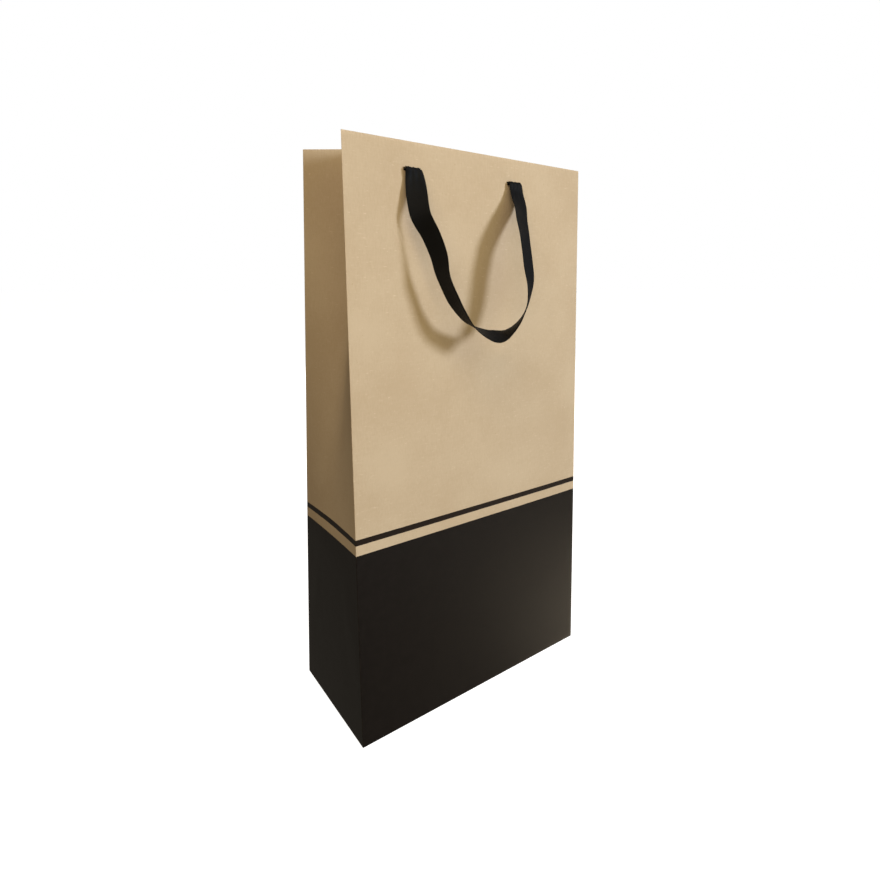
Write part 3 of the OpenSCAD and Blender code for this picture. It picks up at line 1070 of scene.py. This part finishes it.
@dataclass
class RibbonHandle:
    """A ribbon handle: its loop, and the two knots that hold it behind the hem."""

    side: Side
    body: PaperBody
    slots: HandleSlots
    width: float = 12.0 * MM
    thickness: float = 0.50 * MM
    selvedge: float = 0.62 * MM
    slot_width: float = 9.4 * MM
    gather: float = 0.50 * MM
    gather_reach: float = 22.0 * MM
    cup: float = 0.25 * MM
    ripple: float = 0.03 * MM
    ripple_pitch: float = 2.6 * MM
    flat_reach: float = 3.5 * MM
    inside: float = 3.6 * MM
    columns: int = 17
    steps: int = 12
    loop_pitch: float = 0.72 * MM
    knot_steps: int = 8
    knot_ring: int = 20
    knot_flat: float = 10.0 * MM

    @property
    def name(self) -> str:
        """Return the side's name in lower case."""
        return self.side.name.lower()

    @property
    def ends(self) -> tuple[tuple[float, int], tuple[float, int]]:
        """Return each slot's distance from the first, and which way its knot is tied."""
        return (0.0, 1), (self.slots.second - self.slots.first, -1)

    def put(self, across: float, out: float, drop: float) -> Point:
        """Return the place of a point given from the side's first slot."""
        face = self.body.front_y if self.side is Side.FRONT else self.body.back_at(self.slots.level)
        turn = -self.side.value
        return turn * (self.slots.first + across), face + self.side.value * out, self.slots.level - drop

    def centreline(self) -> tuple[np.ndarray, np.ndarray]:
        """Return the ribbon's centreline in place, and its turn at each point in radians."""
        first, last = ROUTE[0], ROUTE[-1]
        lead = [(first[0], -self.inside, 0.0, 0), (first[0], 0.0, 0.0, 0)]
        tail = [(last[0], 0.0, 0.0, 0), (last[0], -self.inside, 0.0, 0)]
        rows = spline(np.array([*lead, *ROUTE, *tail], float), self.steps)
        return np.array([self.put(*row[:3]) for row in rows]), np.radians(rows[:, 3])

    def frames(self) -> tuple[np.ndarray, np.ndarray, np.ndarray, np.ndarray]:
        """Lay the band along its centreline.

        Returns:
            The centreline, the distance run along it, and the directions of the band's edge and
            of its face at each point.
        """
        line, turn = self.centreline()
        way = tangents(line)
        out = np.array([0.0, float(self.side.value), 0.0])
        level = np.where(np.abs(way[:, 1:2]) > 0.999, [[0.0, 0.0, 1.0]], out)
        level = square_to(level, way)
        # Where the ribbon runs straight through a slot it lies flat, with its outer face up.
        distance = np.abs(line[:, 1] - line[0, 1])
        through = np.clip(1 - (distance - self.inside) / self.flat_reach, 0, 1)[:, None]
        flat = square_to(np.tile([[0.0, 0.0, 1.0]], (len(line), 1)), way)
        level = unit(level * (1 - through) + flat * through)
        face = unit(np.cos(turn)[:, None] * level + np.sin(turn)[:, None] * np.cross(way, level))
        edge = unit(np.cross(face, way))
        # A limp ribbon turns a little to and fro between its ends.
        run = distance_along(line)
        drift = np.array([wobble(d, 0.0, 0.0, 1.3 + self.side.value, 22 * MM) for d in run])
        sway = (0.25 * drift * np.sin(run / run[-1] * math.pi))[:, None]
        c, s = np.cos(sway), np.sin(sway)
        return line, run, edge * c + face * s, face * c - edge * s

    def section(self, near: float, run: float) -> list[tuple[float, float]]:
        """Return the ribbon's cross-section at one ring.

        Args:
            near: Distance along the ribbon to its nearer end.
            run: Distance along the ribbon from its first end.

        Returns:
            Places along the band's edge and face, over the outer face and back.
        """
        gathered = max(0.0, 1 - max(0.0, near - self.inside) / self.gather_reach) ** 1.5
        wide = lerp(self.width, self.slot_width, gathered) / 2
        upper, lower = [], []
        for c in range(self.columns):
            s = 2 * c / (self.columns - 1) - 1
            pleat = math.cos(s * 3 * math.pi) * self.gather * gathered
            cup = (s * s - 0.4) * self.cup * (1 - gathered)
            ripple = math.sin(run / self.ripple_pitch + s) * self.ripple * (1 - gathered)
            half = lerp(self.thickness, self.selvedge, abs(s) ** 8) / 2
            if abs(s) == 1:
                half *= 0.45
            upper.append((s * wide, pleat + cup + ripple + half))
            lower.append((s * wide, pleat + cup + ripple - half))
        return upper + lower[::-1]

    def rings(self) -> tuple[np.ndarray, np.ndarray, np.ndarray]:
        """Return the centreline, the distance run along it, and the band's rings of points."""
        line, run, edge, face = self.frames()
        rings = [
            [at + e * u + f * v for u, v in self.section(min(d, run[-1] - d), d)]
            for at, d, e, f in zip(line, run, edge, face)
        ]
        return line, run, np.array(rings)

    def band(self, run: np.ndarray, rings: np.ndarray, twill: bpy.types.Material) -> bpy.types.Object:
        """Build the woven band from knot to knot.

        Args:
            run: The distance run along the band at each ring.
            rings: Its rings of points.
            twill: The ribbon's finish.

        Returns:
            The piece, with weave coordinates: metres along and metres across.
        """
        count, ring = rings.shape[:2]
        faces = tube_faces(count, ring)
        for start, turned in ((0, True), ((count - 1) * ring, False)):
            for j in range(self.columns - 1):
                cap = (start + j, start + j + 1, start + ring - 2 - j, start + ring - 1 - j)
                faces.append(cap[::-1] if turned else cap)
        piece = new_piece(
            f"{self.name}_ribbon_band", rings.reshape(-1, 3), faces, (twill,), sharp=60
        )
        across = [min(j, ring - 1 - j) / (self.columns - 1) * self.width for j in range(ring)]
        add_weave(piece, [(d, a) for d in run for a in across])
        return piece

    def selvedges(self, rings: np.ndarray, twill: bpy.types.Material) -> bpy.types.Object:
        """Build the weft loops that bind the band's two edges, and return them."""
        edges = ((0, -1), (self.columns - 1, self.columns))
        tracks = [(rings[:, a] + rings[:, b]) / 2 for a, b in edges]
        row = LoopRow(self.loop_pitch, self.selvedge)
        return row.build(f"{self.name}_ribbon_selvedge", tracks, twill)

    def knot_frames(self, line: np.ndarray) -> tuple[np.ndarray, np.ndarray]:
        """Return the directions of a tied end's edge and face along its line."""
        way = tangents(line)
        edge = np.zeros_like(line)
        edge[0] = unit(np.cross([0.0, 0.0, 1.0], way[0]))
        for i in range(1, len(line)):
            edge[i] = square_to(edge[i - 1], way[i])
        # The tail turns flat against the hem.
        flat = np.array([1.0, 0.0, 0.0]) * (1 if edge[-1][0] > 0 else -1)
        blend = np.clip((np.linspace(0, 1, len(line)) - 0.72) / 0.14, 0, 1)[:, None]
        edge = unit(edge * (1 - blend) + square_to(np.tile(flat, (len(line), 1)), way) * blend)
        return edge, np.cross(edge, way)

    def tied_end(self, across: float, flip: int) -> tuple[list[np.ndarray], list[tuple[float, float]]]:
        """Return the rings of one knot and its tail, and the weave coordinates of their points.

        Args:
            across: The slot's distance from the first slot.
            flip: 1 or -1, the way in which the knot is tied.

        Returns:
            The points and the coordinates, ring by ring.
        """
        rows = spline(np.array(KNOT, float), self.knot_steps) * MM
        line = np.array([self.put(across + flip * x, -inward, down) for x, inward, down, *_ in rows])
        edge, up = self.knot_frames(line)
        points: list[np.ndarray] = []
        weave: list[tuple[float, float]] = []
        for at, e, f, (*_, wide, thick), run in zip(line, edge, up, rows, distance_along(line)):
            pleats = max(0.0, 1 - wide / self.knot_flat)
            for angle in np.arange(self.knot_ring) * math.tau / self.knot_ring:
                u, v = (math.copysign(abs(k) ** 0.75, k) for k in (math.cos(angle), math.sin(angle)))
                fold = 1 + 0.22 * pleats * math.cos(5 * angle + run * 400)
                points.append(at + e * u * wide / 2 + f * v * thick / 2 * fold)
                weave.append((run, (u * 0.5 + 0.5) * self.width))
        return points, weave

    def knots(self, twill: bpy.types.Material) -> bpy.types.Object:
        """Build both tied ends of the ribbon as one piece and return it."""
        points: list[np.ndarray] = []
        faces: list[tuple[int, ...]] = []
        weave: list[tuple[float, float]] = []
        for across, flip in self.ends:
            start = len(points)
            more, coordinates = self.tied_end(across, flip)
            rings = len(more) // self.knot_ring
            last = start + (rings - 1) * self.knot_ring
            faces += [tuple(start + j for j in face) for face in tube_faces(rings, self.knot_ring)]
            faces.append(tuple(start + j for j in reversed(range(self.knot_ring))))
            faces.append(tuple(last + j for j in range(self.knot_ring)))
            points += more
            weave += coordinates
        piece = new_piece(f"{self.name}_ribbon_knots", np.array(points), faces, (twill,), sharp=70)
        add_weave(piece, weave)
        return piece

    def frays(self, twill: bpy.types.Material) -> bpy.types.Object:
        """Build the loose threads at the ribbon's two cut ends and return them."""
        x, inward, down, wide, _ = (value * MM for value in KNOT[-1])
        tucked, share = 0.3 * MM, 0.47
        tracks = [
            [
                np.array(self.put(across + flip * x + d * wide * share, -inward, down - tucked))
                for d in (-1, 1)
            ]
            for across, flip in self.ends
        ]
        return ThreadRow(seed=4 + self.side.value).build(f"{self.name}_ribbon_frays", tracks, twill)

    def build(self, twill: bpy.types.Material) -> list[bpy.types.Object]:
        """Build the whole handle, and fix its knots and frays to the bag's body.

        Args:
            twill: The ribbon's finish.

        Returns:
            Its pieces.
        """
        line, run, rings = self.rings()
        band = self.band(run, rings, twill)
        loops = self.selvedges(rings, twill)
        knots, frays = self.knots(twill), self.frays(twill)
        # Two points just past the slot, on a slant; nothing here uses them.
        start = Vector(self.put(0.0, 1.5 * MM, 0.0))
        end = Vector(self.put(0.0, 3.0 * MM, 3.0 * MM))
        for piece in (band, loops):
            f"{self.name}_handle"
            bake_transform(piece)
        for piece in (knots, frays):
            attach(piece, "bag")
        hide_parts(f"{self.name}_ribbon")
        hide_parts(f"{self.name}_knots")
        length = float(run[-1])
        tuple(line[0])
        [tuple(p) for p in line]
        log.info("%s handle: ribbon %.0f mm from knot to knot", self.name, length * 1000)
        return [band, loops, knots, frays]


# ---------------------------------------------------------------------------------------------
# Rows of loops and threads, made with Geometry Nodes
# ---------------------------------------------------------------------------------------------


class NodeRow:
    """A row of small parts along some tracks, from a Geometry Nodes tree."""

    def __init__(self, name: str) -> None:
        """Make a tree with a geometry input and output."""
        self.tree = bpy.data.node_groups.new(name, "GeometryNodeTree")
        self.tree.interface.new_socket("Geometry", in_out="INPUT", socket_type="NodeSocketGeometry")
        self.tree.interface.new_socket("Geometry", in_out="OUTPUT", socket_type="NodeSocketGeometry")
        self.values: dict[str, object] = {}
        self.enter = self.tree.nodes.new("NodeGroupInput")
        self.leave = self.tree.nodes.new("NodeGroupOutput")

    def size(self, name: str, kind: str, value: object) -> bpy.types.NodeSocket:
        """Add a named input of the tree with its value, and return its socket inside the tree."""
        made = self.tree.interface.new_socket(name, in_out="INPUT", socket_type=kind)
        self.values[made.identifier] = value
        return find_socket(self.enter.outputs, made.identifier)

    def spots(self, spacing: Mapping[str, bpy.types.NodeSocket], mode: str) -> bpy.types.NodeSocket:
        """Return points along the tracks, set out by a length or a count."""
        curve = self.add("GeometryNodeMeshToCurve", {0: self.enter.outputs[0]})
        return self.add(
            "GeometryNodeResampleCurve", {"Curve": curve.outputs[0], **spacing}, mode=mode
        ).outputs[0]

    def finish(
        self, spots: bpy.types.NodeSocket, part: bpy.types.Node, turn: bpy.types.NodeSocket,
        scale: object, material: bpy.types.Material,
    ) -> None:
        """Put a part on each spot, make the parts real, and give them their material.

        Args:
            spots: Where the parts go.
            part: The node that makes one part.
            turn: Each part's rotation.
            scale: Each part's scale.
            material: Their finish.
        """
        placed = self.add(
            "GeometryNodeInstanceOnPoints",
            {"Points": spots, "Instance": part.outputs[0], "Rotation": turn, "Scale": scale},
        )
        real = self.add("GeometryNodeRealizeInstances", {0: placed.outputs[0]})
        named = self.size("Finish", "NodeSocketMaterial", material)
        last = self.add("GeometryNodeSetMaterial", {"Geometry": real.outputs[0], "Material": named})
        self.tree.links.new(last.outputs[0], self.leave.inputs[0])

    def add(
        self, kind: str, inputs: Mapping[int | str, object] | None = None, **settings: object
    ) -> bpy.types.Node:
        """Add a node, set its properties, then fill its sockets with values or links."""
        node = self.tree.nodes.new(kind)
        for key, value in settings.items():
            setattr(node, key, value)
        for key, value in (inputs or {}).items():
            socket = find_socket(node.inputs, key)
            if isinstance(value, bpy.types.NodeSocket):
                self.tree.links.new(value, socket)
            else:
                socket.default_value = value
        return node

    def apply(self, name: str, tracks: Sequence[Sequence[np.ndarray]]) -> bpy.types.Object:
        """Run the tree on the tracks and keep its result as a plain mesh.

        Args:
            name: The piece's name.
            tracks: Lines of points that the row follows.

        Returns:
            The piece, without a modifier.
        """
        points, edges = [], []
        for track in tracks:
            first = len(points)
            points += [tuple(p) for p in track]
            edges += [(first + i, first + i + 1) for i in range(len(track) - 1)]
        base = bpy.data.meshes.new(f"{name}_tracks")
        base.from_pydata(points, edges, [])
        holder = bpy.data.objects.new(f"{name}_tracks", base)
        bpy.context.scene.collection.objects.link(holder)
        modifier = holder.modifiers.new("row", "NODES")
        modifier.node_group = self.tree
        for identifier, value in self.values.items():
            modifier[identifier] = value
        bpy.context.view_layer.update()
        graph = bpy.context.evaluated_depsgraph_get()
        mesh = bpy.data.meshes.new_from_object(holder.evaluated_get(graph), depsgraph=graph)
        bpy.data.objects.remove(holder)
        mesh.name = name
        piece = bpy.data.objects.new(name, mesh)
        bpy.context.scene.collection.objects.link(piece)
        return piece


@dataclass(frozen=True)
class LoopRow:
    """Weft loops along a woven edge."""

    pitch: float
    size: float

    def build(
        self, name: str, tracks: Sequence[Sequence[np.ndarray]], twill: bpy.types.Material
    ) -> bpy.types.Object:
        """Build the loops along the tracks and return them."""
        row = NodeRow("weft_loops")
        pitch = row.size("Pitch", "NodeSocketFloat", self.pitch)
        size = row.size("Loop size", "NodeSocketFloat", self.size)
        way = row.add("GeometryNodeInputTangent")
        turn = row.add("FunctionNodeAlignRotationToVector", {"Vector": way.outputs[0]}, axis="X")
        bead = row.add("GeometryNodeMeshUVSphere", {"Segments": 6, "Rings": 4, "Radius": size})
        smooth = row.add("GeometryNodeSetShadeSmooth", {0: bead.outputs[0]})
        spots = row.spots({"Length": pitch}, "LENGTH")
        row.finish(spots, smooth, turn.outputs[0], (0.60, 0.42, 0.42), twill)
        return row.apply(name, tracks)


@dataclass(frozen=True)
class ThreadRow:
    """Short loose threads along a cut end."""

    seed: int
    count: int = 26
    length: float = 1.1 * MM
    radius: float = 0.07 * MM

    def build(
        self, name: str, tracks: Sequence[Sequence[np.ndarray]], twill: bpy.types.Material
    ) -> bpy.types.Object:
        """Build the threads hanging from the tracks and return them."""
        row = NodeRow("loose_threads")
        count = row.size("Count", "NodeSocketInt", self.count)
        length = row.size("Length", "NodeSocketFloat", self.length)
        radius = row.size("Radius", "NodeSocketFloat", self.radius)
        seed = row.size("Seed", "NodeSocketInt", self.seed)
        thread = row.add(
            "GeometryNodeMeshCone",
            {"Vertices": 4, "Radius Top": radius, "Radius Bottom": radius, "Depth": length},
        )
        # A random vector's limits are sockets 0 and 1, and a random number's are 2 and 3.
        lean = row.add(
            "FunctionNodeRandomValue",
            {0: (-0.35, -0.25, 0.0), 1: (0.35, 0.25, 3.0), "Seed": seed}, data_type="FLOAT_VECTOR",
        )
        long = row.add("FunctionNodeRandomValue", {2: 0.35, 3: 1.0, "Seed": seed}, data_type="FLOAT")
        row.finish(row.spots({"Count": count}, "COUNT"), thread, lean.outputs[0], long.outputs[1], twill)
        return row.apply(name, tracks)


# ---------------------------------------------------------------------------------------------
# The studio
# ---------------------------------------------------------------------------------------------


@dataclass(frozen=True)
class Lamp:
    """A soft round lamp that points at a place."""

    name: str
    at: Point
    aim: Point
    size: float
    watts: float
    colour: Colour

    def build(self) -> None:
        """Add the lamp to the scene."""
        data = bpy.data.lights.new(self.name, "AREA")
        data.shape, data.size = "DISK", self.size
        data.energy, data.color = self.watts, self.colour
        lamp = bpy.data.objects.new(self.name, data)
        turn = (Vector(self.aim) - Vector(self.at)).to_track_quat("-Z", "Y")
        lamp.matrix_world = Matrix.Translation(self.at) @ turn.to_matrix().to_4x4()
        bpy.context.scene.collection.objects.link(lamp)


@dataclass
class Studio:
    """A pale floor, soft light and the camera."""

    camera_at: Point = (-0.2182, -0.3370, 0.2779)
    yaw: float = 38.2
    pitch: float = -7.57
    roll: float = -0.15
    lens: float = 23.08
    shift: tuple[float, float] = (-0.0608, -0.0891)
    floor_half: float = 40.0
    lamps: tuple[Lamp, ...] = (
        Lamp("key", (0.6827, -1.5020, 0.5896), (0.0, -0.045, 0.18), 0.34, 21.0, (0.73, 0.82, 1.0)),
        Lamp("front", (0.1, -1.5, 0.6), (0.0, -0.045, 0.20), 1.2, 4.5, (1.0, 0.96, 0.55)),
        Lamp("low", (1.15, -0.52, -0.80), (0.05, -0.045, 0.05), 0.5, 3.2, (1.0, 0.84, 0.62)),
        Lamp("left", (-0.55, -0.62, 0.95), (-0.05, 0.0, 0.27), 0.8, 5.8, (1.0, 0.85, 0.62)),
        Lamp("back", (0.6, 1.3, 0.8), (0.0, 0.04, 0.2), 0.8, 17.0, (1.0, 0.96, 0.90)),
    )

    def camera(self) -> None:
        """Place the camera in front of the bag's left corner."""
        data = bpy.data.cameras.new("camera")
        data.lens, data.sensor_width = self.lens, 36.0
        data.shift_x, data.shift_y = self.shift
        data.clip_start = 0.01
        camera = bpy.data.objects.new("camera", data)
        turn = (
            Matrix.Rotation(math.radians(-self.yaw), 4, "Z")
            @ Matrix.Rotation(math.radians(90 + self.pitch), 4, "X")
            @ Matrix.Rotation(math.radians(self.roll), 4, "Z")
        )
        camera.matrix_world = Matrix.Translation(self.camera_at) @ turn
        bpy.context.scene.collection.objects.link(camera)
        bpy.context.scene.camera = camera

    def floor(self) -> None:
        """Lay a pale floor that throws no light or reflection of its own onto the bag."""
        pale = Graph("pale_floor")
        pale.set(Base_Color=(0.55, 0.55, 0.55), Roughness=0.9, Specular_IOR_Level=0.0)
        pale.set(Emission_Color=(1.0, 1.0, 1.0), Emission_Strength=0.95)
        half = self.floor_half
        corners = np.array([(-half, -half, 0), (half, -half, 0), (half, half, 0), (-half, half, 0)])
        ground = new_piece("floor", corners, [(0, 1, 2, 3)], (pale.material,))
        ground.visible_diffuse = ground.visible_glossy = ground.visible_shadow = False

    def world(self) -> None:
        """Make the room white where it is seen, and dim and warm where it lights the bag."""
        world = bpy.data.worlds.new("studio")
        world.use_nodes = True
        nodes, links = world.node_tree.nodes, world.node_tree.links
        seen, lit = nodes["Background"], nodes.new("ShaderNodeBackground")
        seen.inputs["Color"].default_value = (1.0, 1.0, 1.0, 1.0)
        lit.inputs["Color"].default_value = (1.0, 0.90, 0.74, 1.0)
        lit.inputs["Strength"].default_value = 0.12
        path, mixed = nodes.new("ShaderNodeLightPath"), nodes.new("ShaderNodeMixShader")
        links.new(path.outputs["Is Camera Ray"], mixed.inputs[0])
        links.new(lit.outputs[0], mixed.inputs[1])
        links.new(seen.outputs[0], mixed.inputs[2])
        links.new(mixed.outputs[0], nodes["World Output"].inputs["Surface"])
        bpy.context.scene.world = world

    def build(self) -> None:
        """Set the floor, the world and the lights."""
        bpy.context.scene.view_settings.view_transform = "Standard"
        self.floor()
        self.world()
        for lamp in self.lamps:
            lamp.build()


def main() -> None:
    """Build the studio and the bag."""
    logging.basicConfig(level=logging.INFO, format="%(message)s")
    studio = Studio()
    studio.camera()
    slots = HandleSlots()
    body = PaperBody(slots=slots)
    twill = TwillFinish("black_twill").material()
    pieces = [piece for side in Side for piece in RibbonHandle(side, body, slots).build(twill)]
    kraft = KraftFinish("printed_kraft", printed=True).material()
    reverse = KraftFinish("plain_kraft", printed=False).material()
    board = BoardFinish("grey_board").material()
    pieces.append(body.build(kraft, reverse))
    pieces += GluedBottom(body).build(kraft, reverse)
    inner = InnerPieces(body)
    pieces += [inner.seam(reverse), inner.card(board)]
    inner.rim_cards(board)
    for piece in pieces:
        log.info("made %s with %d faces", piece.name, len(piece.data.polygons))
    studio.build()


if __name__ == "__main__":
    main()
